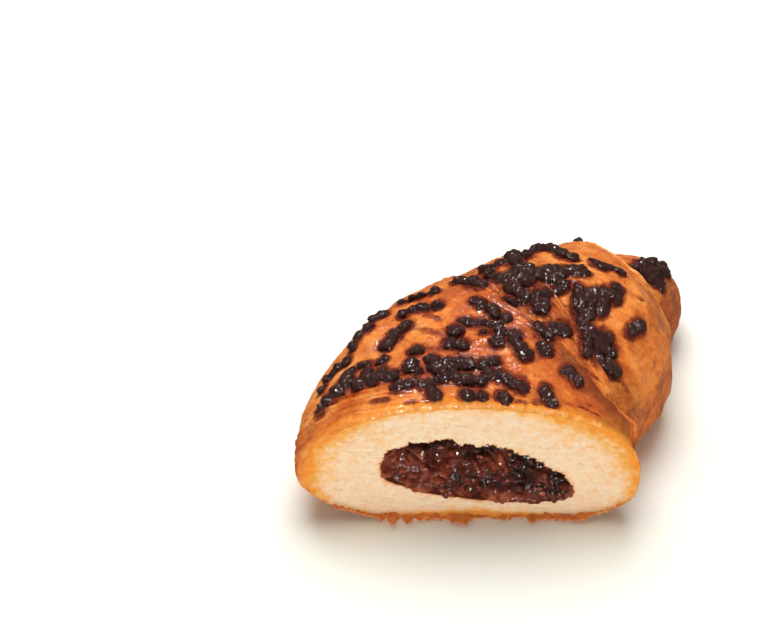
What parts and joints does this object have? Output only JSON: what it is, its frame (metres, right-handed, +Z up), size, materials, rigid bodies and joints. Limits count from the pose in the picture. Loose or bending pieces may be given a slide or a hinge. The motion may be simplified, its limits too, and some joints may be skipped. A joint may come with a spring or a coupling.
{
  "type": "halved chocolate-hazelnut croissant",
  "caption": "Half of a small filled croissant lying on its base, cut face forward, with chocolate-hazelnut filling showing and baked chocolate drops on top.",
  "frame": {"origin": "point of the table under the middle of the piece's box", "axes": "+Z up, the cut face looks towards -Y, +X to the right seen from the cut face, and the tip is at the back right"},
  "size_m": [0.0715, 0.0586, 0.0325],
  "materials": {
    "crust": "egg-washed baked crust, golden to red-brown, half gloss",
    "crumb": "pale cream bread crumb, fine-pored and matt",
    "chocolate": "dark baked chocolate drops, wrinkled and glossy",
    "filling": "dark brown chocolate-hazelnut paste, lumpy and moist",
    "hazelnut": "light brown chopped hazelnut"
  },
  "bodies": {
    "root": {"dough": "crust", "filling": "filling"}
  },
  "joints": []
}
